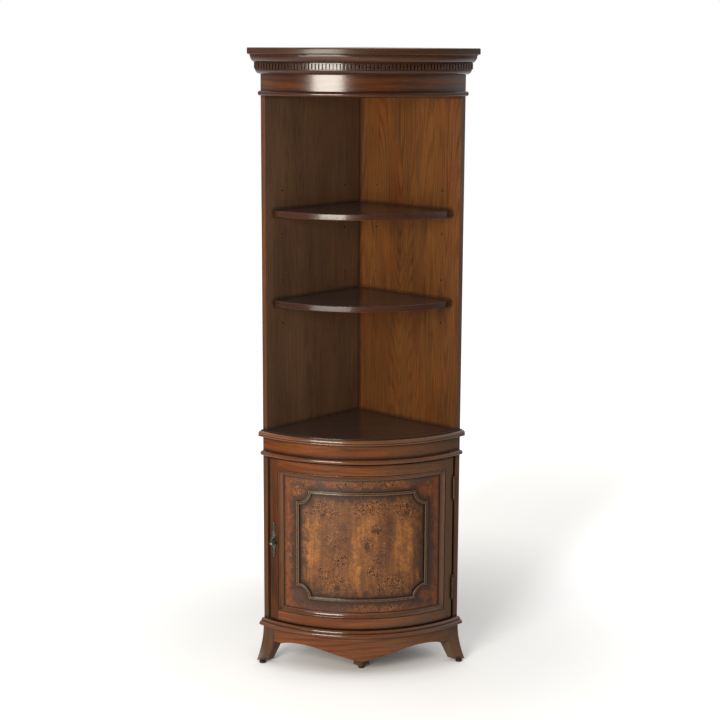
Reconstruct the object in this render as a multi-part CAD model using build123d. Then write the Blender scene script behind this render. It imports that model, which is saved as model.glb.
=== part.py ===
from build123d import *
import math
import os

# Corner cabinet: a quarter-round case that stands in the corner of a room, with open shelves above
# a cupboard that has one curved door. Millimetres, +Z up, front towards -Y. The part is drawn round
# the vertical line where the two walls meet, and moved to the middle of its footprint at the end.
# "Lateral" is a distance out from a wall's plane, and "along" is a distance from the corner line
# along that wall. Every curved piece turns about the corner line.

# Case
case_radius = 440.0
wall_angle = 45.0
side_thickness = 18.0
board_thickness = 19.0
facing_thickness = 18.0
seat_gap = 0.3

# Heights, from the floor up
glide_height = 7.0
foot_height = 117.0
base_moulding_height = 20.5
door_gap = 2.5
door_height = 533.0
waist_rail_height = 64.5
waist_board_thickness = 20.0
open_height = 1037.0
frieze_height = 65.5
bed_moulding_height = 16.0
dentil_height = 17.0
crown_moulding_height = 26.5
top_board_thickness = 19.3

# Top board and the mouldings under it, each as far as it stands out from the case's curved front
top_board_projection = 55.5
top_edge_round = 4.0
crown_lip_projection = 46.5
crown_lip_height = 2.5
crown_round_projection = 44.0
crown_foot_projection = 27.0
crown_foot_height = 2.5
crown_swell = 3.0
dentil_projection = 29.0
dentil_depth = 7.0
dentil_count = 67
dentil_share = 0.62
bed_projection = 23.0
bed_lip_height = 2.5
bed_foot_projection = 2.0
bed_swell = 2.8
bead_height = 17.0
bead_projection = 12.0
bead_quirk_projection = 3.0
bead_quirk_height = 1.5

# Waist board nose and base moulding
waist_projection = 21.0
waist_top_projection = 9.0
waist_step = 1.5
waist_step_height = 3.0
waist_toe_height = 5.0
waist_toe_round = 2.0
waist_swell = 3.0
base_projection = 22.5
base_top_projection = 3.0
base_step_projection = 14.0
base_step_height = 11.5
base_step = 2.5
base_swell = 2.5
base_toe_inset = 1.5
base_toe_height = 4.5

# Shelves, their supports and the rows of holes
shelf_setback = 13.0
shelf_bow_shift = 51.0
shelf_edge_round = 2.0
shelf_facet = 13.0
shelf_facet_fall = 3.0
hole_inset = 72.0
hole_pitch = 67.5
hole_row_count = 3
hole_depth = 9.0
lower_rows_height = 333.0
upper_rows_height = 613.0
cupboard_rows_height = 200.0
cupboard_shelf_setback = 80.0
cupboard_shelf_bow_shift = 30.0
peg_radius = 2.5
peg_clearance = 0.1
peg_length = 8.0
bracket_thickness = 1.2
bracket_width = 12.0
bracket_leg = 13.0
bracket_drop = 10.0
bracket_rise = 5.0

# Door
door_thickness = 20.0
door_edge_gap = 2.0
post_thickness = 10.2
post_depth = 34.0
post_setback = 10.0
stile_width = 30.0
rail_width = 34.0
groove_depth = 6.0
panel_thickness = 8.0
panel_recess = 9.0
sticking_width = 16.0
sticking_top_drop = 0.8
sticking_bead_width = 5.0
sticking_bead_drop = 2.0
sticking_hollow = 1.6
sticking_edge = 1.5
frame_moulding_width = 10.5
frame_base_height = 2.0
frame_bead_inset = 0.8
frame_bead_width = 2.4
frame_bead_height = 3.4
frame_ridge_inset = 4.6
frame_ridge_width = 4.8
frame_ridge_height = 5.5
frame_ridge_round = 1.6
frame_side_margin = 39.0
frame_top_margin = 39.0
frame_bottom_margin = 37.5
notch_width = 37.5
notch_height = 39.5
notch_ear = 10.5
notch_bow = 6.0

# Hinges
hinge_length = 66.0
hinge_inset = 102.0
knuckle_count = 5
knuckle_radius = 3.5
knuckle_gap = 0.3
hinge_pin_radius = 1.6
hinge_pin_clearance = 0.06
leaf_thickness = 1.2
leaf_gap = 0.4
leaf_width = 20.0
leaf_clearance = 0.4
axis_stand_off = 3.0
finial_radius = 3.0
finial_neck_radius = 1.9
finial_neck = 1.5
screw_count = 3
screw_radius = 1.4
screw_head_radius = 2.9
screw_head_height = 1.5
screw_length = 14.0
screw_edge = 10.0
screw_set_back = 17.0

# Handle
handle_height = 116.0
plate_thickness = 1.8
boss_radius = 10.5
lobe_radius = 8.6
neck_half_width = 2.6
tip_radius = 2.4
pierce_radius = 2.3
lobe_share = 0.33
finial_share = 0.72
cluster_radius = 3.8
cluster_spread = 4.6
post_radius = 3.0
post_flange_radius = 5.5
post_flange_height = 2.0
post_reach = 9.8
post_stem_radius = 2.0
clevis_radius = 3.4
clevis_width = 7.4
clevis_slot = 3.4
drop_eye_width = 3.0
drop_eye_radius = 2.8
drop_pin_radius = 1.0
drop_pin_clearance = 0.06
drop_length = 18.0
drop_radius = 7.4
drop_neck_radius = 1.3
drop_neck_share = 0.26
nut_radius = 4.5
nut_height = 3.0
nut_side_count = 6
nut_seat_radius = 6.5
nut_seat_depth = 1.0

# Catch
catch_height = 42.0
catch_width = 14.0
catch_depth = 26.0
catch_screw_length = 9.0
strike_height = 36.0
strike_width = 11.0
strike_thickness = 2.5
strike_proud = 0.5

# Apron and feet
apron_projection = 4.0
apron_thickness = 18.0
apron_peak_height = 83.0
apron_shoulder_height = 72.6
apron_shoulder_lateral = 78.0
apron_centre_height = 40.0
apron_peak_share = 0.80
apron_curve_share = 0.37
apron_curve_height_share = 0.56
apron_centre_rise = 0.18
apron_end_fall = 0.55
foot_width = 46.0
toe_width = 27.0
foot_hollow = 3.5
foot_flare = 31.0
flare_start = 6.0
toe_turn = 9.0
foot_top_depth = 54.0
foot_toe_depth = 25.0
foot_section_count = 5
centre_foot_side = 36.0
centre_foot_gap = 22.0
rear_foot_side = 50.0
rear_foot_inset = 6.0
rear_foot_taper = 12.0
glide_radius = 10.5
glide_edge_inset = 1.5

# Glue blocks
block_thickness = 25.0
block_height = 30.0
block_angle = 6.0
base_block_angle = 20.0
crown_block_angle = 28.0

# Overrun of every cut
cut = 2.0

# Heights worked out from the stack
case_bottom = glide_height + foot_height
case_floor = case_bottom + board_thickness
door_bottom = case_bottom + base_moulding_height + door_gap
door_top = door_bottom + door_height
waist_bottom = door_top + door_gap
waist_under = waist_bottom + waist_rail_height
waist_top = waist_under + waist_board_thickness
open_top = waist_top + open_height
bed_bottom = open_top + frieze_height
dentil_bottom = bed_bottom + bed_moulding_height
crown_bottom = dentil_bottom + dentil_height
case_top = crown_bottom + crown_moulding_height
cabinet_height = case_top + top_board_thickness

# Places worked out from the case and the door
facing_back = case_radius - facing_thickness
top_radius = case_radius + top_board_projection
apron_front = case_radius + apron_projection
apron_back = apron_front - apron_thickness
centre_foot_front = apron_back - centre_foot_gap
door_back = case_radius - door_thickness
panel_face = case_radius - panel_recess
panel_back = panel_face - panel_thickness
post_lateral = side_thickness + post_thickness
door_lateral = post_lateral + door_edge_gap
stile_lateral = door_lateral + stile_width
sticking_lateral = stile_lateral + sticking_width
opening_bottom = door_bottom + rail_width
opening_top = door_top - rail_width
shelf_lateral = side_thickness + bracket_thickness + seat_gap
hinge_along = case_radius + axis_stand_off
hinge_lateral = post_lateral + door_edge_gap / 2
hole_back = side_thickness + hole_inset
hole_front = case_radius - hole_inset


# Shared shapes

def along(radius, lateral):
    """How far along a wall the circle of this radius is, at a lateral distance from the wall."""
    return math.sqrt(radius ** 2 - lateral ** 2)


def spot(distance, lateral, side=1):
    """A point in plan, from its distance along a wall and out from it; side 1 is the right wall."""
    root = math.sqrt(2)
    return (side * (distance - lateral) / root, -(distance + lateral) / root)


def on_circle(radius, lateral, side=1):
    """The point in plan where a circle about the corner line meets a line beside a wall."""
    return spot(along(radius, lateral), lateral, side)


def outline(start, *steps):
    """A closed face: each step is an end point, or a pair (through, end) for an arc."""
    edges = []
    here = start
    for step in steps:
        if isinstance(step[0], tuple):
            edges.append(ThreePointArc(here, step[0], step[1]))
            here = step[1]
        else:
            edges.append(Line(here, step))
            here = step
    edges.append(Line(here, start))
    return make_face(edges)


def turned(profile, first=-wall_angle, last=wall_angle):
    """Turn a (radius, height) profile about the corner line, between two angles from the front."""
    quarter = 90
    return Rot(0, 0, first - quarter) * revolve(Plane.XZ * profile, Axis.Z, last - first)


def raised(face, bottom, height):
    """Stand a plan face up, from a height."""
    return Pos(0, 0, bottom) * extrude(face, height)


def band(inner, outer, bottom, height, first=-wall_angle, last=wall_angle):
    """A plain curved strip between two radii."""
    points = [(inner, bottom), (outer, bottom), (outer, bottom + height), (inner, bottom + height)]
    return turned(outline(*points), first, last)


def span(inner, outer, lateral):
    """A curved strip in plan, with ends parallel to the walls at a lateral distance from each."""
    return outline(
        on_circle(outer, lateral, -1),
        ((0, -outer), on_circle(outer, lateral)),
        on_circle(inner, lateral),
        ((0, -inner), on_circle(inner, lateral, -1)),
    )


def corner_board(radius, lateral):
    """A quarter-round board in plan, clear of both walls by a lateral distance."""
    inner_corner = spot(lateral, lateral)
    return outline(
        inner_corner,
        on_circle(radius, lateral),
        ((0, -radius), on_circle(radius, lateral, -1)),
    )


def strip(inner, outer, first, last):
    """A short curved strip in plan by the right wall, between two lateral distances."""
    middle = (first + last) / 2
    return outline(
        on_circle(outer, first),
        (on_circle(outer, middle), on_circle(outer, last)),
        on_circle(inner, last),
        (on_circle(inner, middle), on_circle(inner, first)),
    )


def by_right_wall(shape):
    """Place a shape drawn with X along the right wall and -Y out from it."""
    return Rot(0, 0, -wall_angle) * shape


def mirrored(shape):
    """The same shape on the left side."""
    return mirror(shape, Plane.YZ)


def block(first_along, last_along, first_lateral, last_lateral, bottom, top):
    """A box by the right wall, from its distances along it and out from it."""
    sizes = (last_along - first_along, last_lateral - first_lateral, top - bottom)
    place = Pos(first_along, -last_lateral, bottom)
    return by_right_wall(place * Box(*sizes, align=(Align.MIN, Align.MIN, Align.MIN)))


def rod(radius, length):
    """A round bar from the origin up."""
    return Cylinder(radius, length, align=(Align.CENTER, Align.CENTER, Align.MIN))


# Crown

def make_top_board():
    """The cap: a quarter-round board with an eased front edge that overhangs the case."""
    ease = min(top_edge_round, top_board_thickness / 3)
    inner_round = ease * (1 - math.cos(math.pi / 4))
    profile = outline(
        (0, case_top),
        (top_radius - ease, case_top),
        ((top_radius - inner_round, case_top + inner_round), (top_radius, case_top + ease)),
        (top_radius, cabinet_height - ease),
        ((top_radius - inner_round, cabinet_height - inner_round), (top_radius - ease, cabinet_height)),
        (0, cabinet_height),
    )
    return turned(profile)


def make_crown_moulding():
    """The rounded moulding under the cap, with a small fillet above and below."""
    foot = case_radius + crown_foot_projection
    head = case_radius + crown_round_projection
    low = crown_bottom + crown_foot_height
    high = case_top - crown_lip_height
    middle = ((foot + head) / 2 + crown_swell, (low + high) / 2 - crown_swell)
    profile = outline(
        (case_radius, crown_bottom),
        (foot, crown_bottom),
        (foot, low),
        (middle, (head, high)),
        (case_radius + crown_lip_projection, high),
        (case_radius + crown_lip_projection, case_top),
        (case_radius, case_top),
    )
    return turned(profile)


def make_dentil_moulding():
    """The dentil strip: a curved backing with a row of square teeth."""
    face = case_radius + dentil_projection
    root = face - dentil_depth
    backing = band(case_radius, root, dentil_bottom, dentil_height)
    pitch = 2 * wall_angle / dentil_count
    tooth_angle = pitch * dentil_share
    tooth = band(root - cut, face, dentil_bottom, dentil_height, 0, tooth_angle)
    start = -wall_angle + (pitch - tooth_angle) / 2
    teeth = [Rot(0, 0, start + index * pitch) * tooth for index in range(dentil_count)]
    return backing + teeth


def make_bed_moulding():
    """The quarter round between the frieze and the dentils."""
    foot = case_radius + bed_foot_projection
    head = case_radius + bed_projection
    high = dentil_bottom - bed_lip_height
    middle = ((foot + head) / 2 + bed_swell, (bed_bottom + high) / 2 - bed_swell)
    profile = outline(
        (case_radius, bed_bottom),
        (foot, bed_bottom),
        (middle, (head, high)),
        (head, dentil_bottom),
        (case_radius, dentil_bottom),
    )
    return turned(profile)


def make_bead(bottom):
    """A half-round bead with a small quirk above and below."""
    quirk = case_radius + bead_quirk_projection
    tip = (case_radius + bead_projection, bottom + bead_height / 2)
    profile = outline(
        (case_radius, bottom),
        (quirk, bottom + bead_quirk_height),
        (tip, (quirk, bottom + bead_height - bead_quirk_height)),
        (case_radius, bottom + bead_height),
    )
    return turned(profile)


def make_frieze():
    """The curved board above the open shelves, which covers the front ends of the sides."""
    return band(facing_back, case_radius, open_top, case_top - open_top)


def make_ceiling_board():
    """The board over the top bay, behind the frieze."""
    return raised(corner_board(facing_back, side_thickness), open_top, board_thickness)


# Sides and shelves

def shelf_hole_places():
    """Every shelf-pin hole on one side, as (along, height)."""
    starts = [waist_top + lower_rows_height, waist_top + upper_rows_height]
    starts.append(case_floor + cupboard_rows_height)
    heights = [start + row * hole_pitch for start in starts for row in range(hole_row_count)]
    return [(place, height) for place in (hole_back, hole_front) for height in heights]


def peg_hole(place, height):
    """One hole, drilled into the right side from its inner face."""
    drill = Rot(-90, 0, 0) * rod(peg_radius + peg_clearance, hole_depth + cut)
    return by_right_wall(Pos(place, -side_thickness - cut, height) * drill)


def make_right_side():
    """A full-height side, mitred at the back corner and drilled for shelf pins."""
    plan = outline(
        (0, 0),
        spot(case_radius, 0),
        (on_circle(case_radius, side_thickness / 2), on_circle(case_radius, side_thickness)),
        spot(side_thickness, side_thickness),
    )
    side = raised(plan, case_bottom, case_top - case_bottom)
    outer = case_radius + cut
    side -= band(facing_back, outer, open_top, case_top - open_top + cut)
    side -= band(facing_back, outer, waist_bottom, waist_under - waist_bottom)
    return side - [peg_hole(place, height) for place, height in shelf_hole_places()]


def shelf_row(start):
    """The height of the middle row of a set of holes, where its shelf rests."""
    middle_row = (hole_row_count - 1) / 2
    return start + middle_row * hole_pitch


def make_shelf(row_height, setback, bow_shift):
    """A bow-fronted shelf with clipped front corners, resting on the brackets of one row."""
    front = case_radius - setback
    bow_radius = front - bow_shift
    bow_centre = bow_shift / math.sqrt(2)
    end_lateral = shelf_lateral + shelf_facet
    end = bow_centre + math.sqrt(bow_radius ** 2 - (end_lateral - bow_centre) ** 2)
    plan = outline(
        spot(shelf_lateral, shelf_lateral),
        spot(end - shelf_facet_fall, shelf_lateral),
        spot(end, end_lateral),
        ((0, -front), spot(end, end_lateral, -1)),
        spot(end - shelf_facet_fall, shelf_lateral, -1),
    )
    shelf = raised(plan, row_height - bracket_drop, board_thickness)
    front_edges = shelf.edges().filter_by(GeomType.CIRCLE)
    return fillet(front_edges, min(shelf_edge_round, board_thickness / 3))


def make_bracket(place, height):
    """One shelf support: a peg behind an upright plate, with a leg that the shelf rests on."""
    under = height - bracket_drop
    half = bracket_width / 2
    inner = side_thickness + bracket_thickness
    plate = block(place - half, place + half, side_thickness, inner,
                  under - bracket_thickness, height + bracket_rise)
    leg = block(place - half, place + half, side_thickness, inner + bracket_leg,
                under - bracket_thickness, under)
    peg = Rot(-90, 0, 0) * rod(peg_radius, peg_length + bracket_thickness / 2)
    peg_start = -side_thickness - bracket_thickness / 2
    return plate + leg + by_right_wall(Pos(place, peg_start, height) * peg)


def make_supports(*row_heights):
    """Four brackets to a shelf, two on each side."""
    right = [make_bracket(place, row) for row in row_heights for place in (hole_back, hole_front)]
    return right + [mirrored(bracket) for bracket in right]


# Waist

def make_waist_board():
    """The cupboard's top: a board between the sides, with a moulded nose that runs past them."""
    nose = case_radius + waist_projection
    lip = case_radius + waist_top_projection
    step = lip + waist_step
    step_height = waist_top - waist_step_height
    toe_height = waist_under + waist_toe_height
    toe = nose - waist_toe_round
    middle = ((step + nose) / 2 + waist_swell, (step_height + toe_height) / 2 + waist_swell)
    profile = outline(
        (case_radius - cut, waist_under),
        (toe, waist_under),
        ((nose, (waist_under + toe_height) / 2), (toe, toe_height)),
        (middle, (step, step_height)),
        (lip, step_height),
        (lip, waist_top),
        (case_radius - cut, waist_top),
    )
    board = raised(corner_board(case_radius, side_thickness), waist_under, waist_board_thickness)
    past_sides = turned(profile) - band(0, case_radius, waist_under - cut, waist_board_thickness + 2 * cut)
    return board + past_sides


def make_waist_rail():
    """The curved rail between the waist board and the door."""
    return band(facing_back, case_radius, waist_bottom, waist_rail_height)


# Base

def make_cupboard_floor():
    """The cupboard's bottom board, between the sides."""
    return raised(corner_board(case_radius, side_thickness), case_floor - board_thickness, board_thickness)


def make_base_moulding():
    """The stepped moulding under the door."""
    toe = case_radius + base_projection
    step = case_radius + base_step_projection
    lip = case_radius + base_top_projection
    step_height = case_bottom + base_step_height
    top = case_bottom + base_moulding_height
    upper = ((lip + step) / 2 + base_swell, (step_height + top) / 2 + base_swell)
    lower = (toe, case_bottom + base_toe_height)
    profile = outline(
        (case_radius, case_bottom),
        (toe - base_toe_inset, case_bottom),
        (lower, (step + base_step, step_height)),
        (step, step_height),
        (upper, (lip, top)),
        (case_radius, top),
    )
    return turned(profile)


def make_apron():
    """The curved apron between the feet, sawn to an ogee that falls to a point in the middle."""
    plan = span(apron_back, apron_front, foot_width)
    apron = raised(plan, 0, case_bottom)
    end = on_circle(apron_front, apron_shoulder_lateral)[0]
    past = on_circle(apron_front, foot_width)[0] + cut
    rise = apron_peak_height - apron_centre_height
    curve = Spline(
        (0, apron_centre_height),
        (end * apron_curve_share, apron_centre_height + rise * apron_curve_height_share),
        (end * apron_peak_share, apron_peak_height),
        (end, apron_shoulder_height),
        tangents=[(1, apron_centre_rise), (1, -apron_end_fall)],
    )
    sides = Polyline(
        (end, apron_shoulder_height),
        (past, apron_shoulder_height),
        (past, -cut),
        (0, -cut),
        (0, apron_centre_height),
    )
    waste = extrude(Plane.XZ * make_face(curve.edges() + sides.edges()), apron_front + cut)
    return apron - waste - mirrored(waste)


def foot_section(height):
    """The foot's plan at one height: it flares along the wall as it comes down."""
    straight = case_bottom - flare_start
    fall = max(straight - height, 0)
    full_fall = straight - glide_height
    flare = (fall / full_fall) ** 2
    outer = apron_front + foot_flare * flare
    inner = along(apron_front, foot_width) - toe_turn * flare
    bulge = along(apron_front, foot_width / 2) - (apron_front + along(apron_front, foot_width)) / 2
    depth = foot_top_depth + (foot_toe_depth - foot_top_depth) * fall / full_fall
    middle = ((outer + inner) / 2 + bulge, -foot_width / 2)
    plan = outline(
        (outer - depth, 0),
        (outer, 0),
        (middle, (inner, -foot_width)),
        (inner - depth, -foot_width),
    )
    return Pos(0, 0, height) * plan


def make_right_foot():
    """A splayed corner foot that butts against the apron's end and is hollowed below it."""
    drop = case_bottom - glide_height
    last = foot_section_count - 1
    heights = [glide_height + drop * index / last for index in range(foot_section_count)]
    body = by_right_wall(loft([foot_section(height) for height in heights]))
    middle_height = (apron_shoulder_height + glide_height) / 2
    hollow = ((foot_width + toe_width) / 2 - foot_hollow, middle_height - foot_hollow)
    front_view = outline(
        (-cut, glide_height - cut),
        (toe_width, glide_height - cut),
        (toe_width, glide_height),
        (hollow, (foot_width, apron_shoulder_height)),
        (foot_width + cut, apron_shoulder_height),
        (foot_width + cut, case_bottom + cut),
        (-cut, case_bottom + cut),
    )
    across = Plane(origin=(0, 0, 0), x_dir=(0, -1, 0), z_dir=(-1, 0, 0))
    keep = Pos(2 * case_radius, 0, 0) * extrude(across * front_view, 2 * case_radius)
    return body & by_right_wall(keep)


def make_centre_foot():
    """A square post behind the apron's point, set with an arris forward."""
    half_diagonal = centre_foot_side * math.sqrt(2) / 2
    height = case_floor - board_thickness - glide_height
    post = Box(centre_foot_side, centre_foot_side, height, align=(Align.CENTER, Align.CENTER, Align.MIN))
    return Pos(0, half_diagonal - centre_foot_front, glide_height) * Rot(0, 0, wall_angle) * post


def make_rear_foot():
    """The foot under the back corner, tapered on its two inner faces."""
    outer = rear_foot_inset
    inner = rear_foot_inset + rear_foot_side
    toe = inner - rear_foot_taper
    top = [spot(outer, outer), spot(inner, outer), spot(inner, inner), spot(outer, inner)]
    toe_points = [spot(outer, outer), spot(toe, outer), spot(toe, toe), spot(outer, toe)]
    top_face = Pos(0, 0, case_bottom) * outline(*top)
    toe_face = Pos(0, 0, glide_height) * outline(*toe_points)
    return loft([toe_face, top_face], ruled=True)


def make_glides():
    """A round glide under each foot, close behind the front foot's arris so that it shows."""
    edge = glide_edge_inset + glide_radius
    side_along = apron_front + foot_flare - edge
    side_lateral = toe_width - edge
    rear = rear_foot_inset + edge
    front = centre_foot_front - edge * math.sqrt(2)
    places = [spot(side_along, side_lateral), spot(side_along, side_lateral, -1)]
    places += [spot(rear, rear), (0, -front)]
    return [Pos(*place, 0) * rod(glide_radius, glide_height) for place in places]


def make_base_blocks():
    """Glue blocks in the angle between the apron and the cupboard's floor."""
    top = case_floor - board_thickness
    starts = (-base_block_angle - block_angle / 2, base_block_angle - block_angle / 2)
    return [band(apron_back - block_thickness, apron_back, top - block_height, block_height,
                 start, start + block_angle) for start in starts]


def make_crown_blocks():
    """Glue blocks in the angle between the frieze and the ceiling board."""
    bottom = open_top + board_thickness
    middles = (-crown_block_angle, 0, crown_block_angle)
    return [band(facing_back - block_thickness, facing_back, bottom, block_height,
                 middle - block_angle / 2, middle + block_angle / 2) for middle in middles]


# Posts beside the door

def make_right_post():
    """The set-back strip between a side and the door."""
    front = case_radius - post_setback
    return block(front - post_depth, front, side_thickness, post_lateral, case_floor, waist_bottom)


# Hinges, drawn round their own axis: X along the wall and -Y out from it

def hinge_bottoms():
    """The lower end of each hinge."""
    return [door_bottom + hinge_inset - hinge_length / 2, door_top - hinge_inset - hinge_length / 2]


def at_hinge(shape, bottom):
    """Place a shape drawn round the hinge axis."""
    return by_right_wall(Pos(hinge_along, -hinge_lateral, bottom) * shape)


def knuckle(index):
    """One knuckle of the hinge's barrel, bored for the pin."""
    pitch = hinge_length / knuckle_count
    length = pitch - knuckle_gap
    ring = rod(knuckle_radius, length) - rod(hinge_pin_radius + hinge_pin_clearance, length)
    return Pos(0, 0, index * pitch + knuckle_gap / 2) * ring


def leaf(own, side):
    """One leaf with its own knuckles; side 1 is the door's leaf and -1 is the case's."""
    pitch = hinge_length / knuckle_count
    near = side * leaf_gap / 2
    far = near + side * leaf_thickness
    low, high = min(-near, -far), max(-near, -far)
    back_edge = -knuckle_radius - leaf_width
    clear_edge = -knuckle_radius - leaf_clearance
    joined_edge = -(knuckle_radius + hinge_pin_radius) / 2
    corner = (Align.MIN, Align.MIN, Align.MIN)
    plate = Pos(back_edge, low, 0) * Box(clear_edge - back_edge, high - low, hinge_length, align=corner)
    tabs = []
    for index in own:
        tab = Box(joined_edge - clear_edge + cut, high - low, pitch - knuckle_gap, align=corner)
        tabs.append(Pos(clear_edge - cut, low, index * pitch + knuckle_gap / 2) * tab)
    bore = rod(hinge_pin_radius + hinge_pin_clearance, hinge_length)
    return plate + tabs + [knuckle(index) for index in own] - bore


def screw(length=screw_length):
    """A countersunk wood screw, head at the origin and pointing down."""
    bottom = (Align.CENTER, Align.CENTER, Align.MAX)
    head = Cone(screw_radius, screw_head_radius, screw_head_height, align=bottom)
    return head + Cylinder(screw_radius, length, align=bottom)


def leaf_screws(side):
    """The screws of one leaf."""
    depth = -side * leaf_gap / 2
    turn = Rot(side * -90, 0, 0)
    step = (hinge_length - 2 * screw_edge) / (screw_count - 1)
    heights = [screw_edge + index * step for index in range(screw_count)]
    return [Pos(-screw_set_back, depth, height) * turn * screw() for height in heights]


def make_hinge_pin():
    """The pin, with a small ball finial at each end."""
    neck = finial_neck + finial_radius
    shaft = Pos(0, 0, -neck) * rod(hinge_pin_radius, hinge_length + 2 * neck)
    collar = rod(finial_neck_radius, finial_neck)
    ball = Sphere(finial_radius)
    low = Pos(0, 0, -finial_neck) * collar + Pos(0, 0, -neck) * ball
    high = Pos(0, 0, hinge_length) * collar + Pos(0, 0, hinge_length + neck) * ball
    return shaft + low + high


def make_hinges():
    """Both hinges, as lists: case leaves, door leaves, pins, case screws and door screws."""
    case_knuckles = range(0, knuckle_count, 2)
    door_knuckles = range(1, knuckle_count, 2)
    case_screws = [at_hinge(shape, low) for low in hinge_bottoms() for shape in leaf_screws(-1)]
    door_screws = [at_hinge(shape, low) for low in hinge_bottoms() for shape in leaf_screws(1)]
    case_leaves = [at_hinge(leaf(case_knuckles, -1), low) - case_screws for low in hinge_bottoms()]
    door_leaves = [at_hinge(leaf(door_knuckles, 1), low) - door_screws for low in hinge_bottoms()]
    pins = [at_hinge(make_hinge_pin(), low) for low in hinge_bottoms()]
    return case_leaves, door_leaves, pins, case_screws, door_screws


# Door

def panel_envelope():
    """The curved panel with its tongue, as it sits in the frame's groove."""
    plan = span(panel_back, panel_face, stile_lateral - groove_depth)
    height = opening_top - opening_bottom + 2 * groove_depth
    return raised(plan, opening_bottom - groove_depth, height)


def make_right_stile():
    """A door stile by the right wall, grooved for the panel."""
    stile = raised(strip(door_back, case_radius, door_lateral, stile_lateral), door_bottom, door_height)
    return stile - panel_envelope()


def make_rail(bottom):
    """A curved door rail with stub tongues that enter the stiles' grooves."""
    rail = raised(span(door_back, case_radius, stile_lateral), bottom, rail_width)
    return rail - panel_envelope()


def mitre_prism():
    """What the right-hand upright sticking keeps: a strip mitred at both ends."""
    view = outline(
        (stile_lateral, opening_bottom),
        (stile_lateral, opening_top),
        (sticking_lateral, opening_top - sticking_width),
        (sticking_lateral, opening_bottom + sticking_width),
    )
    across = Plane(origin=(0, 0, 0), x_dir=(0, -1, 0), z_dir=(-1, 0, 0))
    return by_right_wall(Pos(2 * case_radius, 0, 0) * extrude(across * view, 2 * case_radius))


def sticking_steps():
    """The sticking's section: a bead beside the frame, then a hollow down to the panel."""
    top = case_radius - sticking_top_drop
    foot = panel_face + sticking_edge
    bead_end = top - sticking_bead_drop
    hollow_middle = (sticking_bead_width + sticking_width) / 2
    hollow_radius = (bead_end + foot) / 2 - sticking_hollow
    return top, foot, bead_end, hollow_middle, hollow_radius


def make_upright_sticking():
    """The right-hand upright length of the moulding round the panel."""
    top, foot, bead_end, middle, hollow = sticking_steps()
    bead = stile_lateral + sticking_bead_width
    plan = outline(
        on_circle(panel_face, sticking_lateral),
        (on_circle(panel_face, stile_lateral + middle), on_circle(panel_face, stile_lateral)),
        on_circle(bead_end, stile_lateral),
        (on_circle(top, stile_lateral + sticking_bead_width / 2), on_circle(bead_end, bead)),
        (on_circle(hollow, stile_lateral + middle), on_circle(foot, sticking_lateral)),
    )
    return raised(plan, opening_bottom, opening_top - opening_bottom) & mitre_prism()


def make_level_sticking(edge, direction):
    """The top or bottom length of that moulding; direction is 1 upwards from the edge."""
    top, foot, bead_end, middle, hollow = sticking_steps()
    bead = edge + direction * sticking_bead_width
    end = edge + direction * sticking_width
    profile = outline(
        (panel_face, edge),
        (top - sticking_bead_drop, edge),
        ((top, edge + direction * sticking_bead_width / 2), (bead_end, bead)),
        ((hollow, edge + direction * middle), (foot, end)),
        (panel_face, end),
    )
    height = abs(end - edge)
    within = raised(span(panel_face, case_radius, stile_lateral), min(edge, end), height)
    upright = mitre_prism()
    return (turned(profile) & within) - upright - mirrored(upright)


def notch_circle():
    """The circle that cuts off a corner: its centre, across and up from the corner, and its radius."""
    run = notch_width - notch_ear
    fall = notch_height - notch_ear
    half_chord = math.hypot(run, fall) / 2
    radius = (half_chord ** 2 + notch_bow ** 2) / (2 * notch_bow)
    reach = (radius - notch_bow) / (2 * half_chord)
    across = (notch_width + notch_ear) / 2 - fall * reach
    up = run * reach - (notch_height + notch_ear) / 2
    return across, up, radius


def notched_face(inset):
    """The raised moulding's outline seen from the front, drawn in by a distance from its outer edge."""
    half_opening = math.radians(wall_angle) - math.asin(sticking_lateral / panel_face)
    side = panel_face * math.sin(half_opening) - frame_side_margin
    low = opening_bottom + sticking_width + frame_bottom_margin
    high = opening_top - sticking_width - frame_top_margin
    top = (high - low) / 2
    shift, rise, radius = notch_circle()
    across, up, radius = side - shift, top + rise, radius + inset
    ear_across = side - notch_width - inset
    ear_up = top - notch_height - inset
    arc_up = up - math.sqrt(radius ** 2 - (across - ear_across) ** 2)
    arc_across = across - math.sqrt(radius ** 2 - (up - ear_up) ** 2)
    first = math.atan2(up - ear_up, across - arc_across)
    last = math.atan2(up - arc_up, across - ear_across)
    turn = (first + last) / 2
    middle = (across - radius * math.cos(turn), up - radius * math.sin(turn))
    corner = [(side - inset, ear_up), (arc_across, ear_up), middle, (ear_across, arc_up),
              (ear_across, top - inset)]
    steps = []
    for right, upper in ((1, 1), (-1, 1), (-1, -1), (1, -1)):
        points = [(right * x, (high + low) / 2 + upper * z) for x, z in corner[::right * upper]]
        steps += [points[0], points[1], (points[2], points[3]), points[4]]
    return outline(steps[0], *steps[1:])


def frame_ring(outer_inset, inner_inset, rise):
    """A ring of the raised moulding between two insets, standing on the panel."""
    flat = notched_face(outer_inset) - notched_face(inner_inset)
    ring = extrude(Plane.XZ * flat, case_radius)
    return (ring & rod(panel_face + rise, cabinet_height)) - rod(panel_face, cabinet_height)


def on_top(edge, radius):
    """Whether an edge lies at a radius from the corner line."""
    middle = edge @ 0.5
    return math.isclose(math.hypot(middle.X, middle.Y), radius, rel_tol=1e-6)


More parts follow.
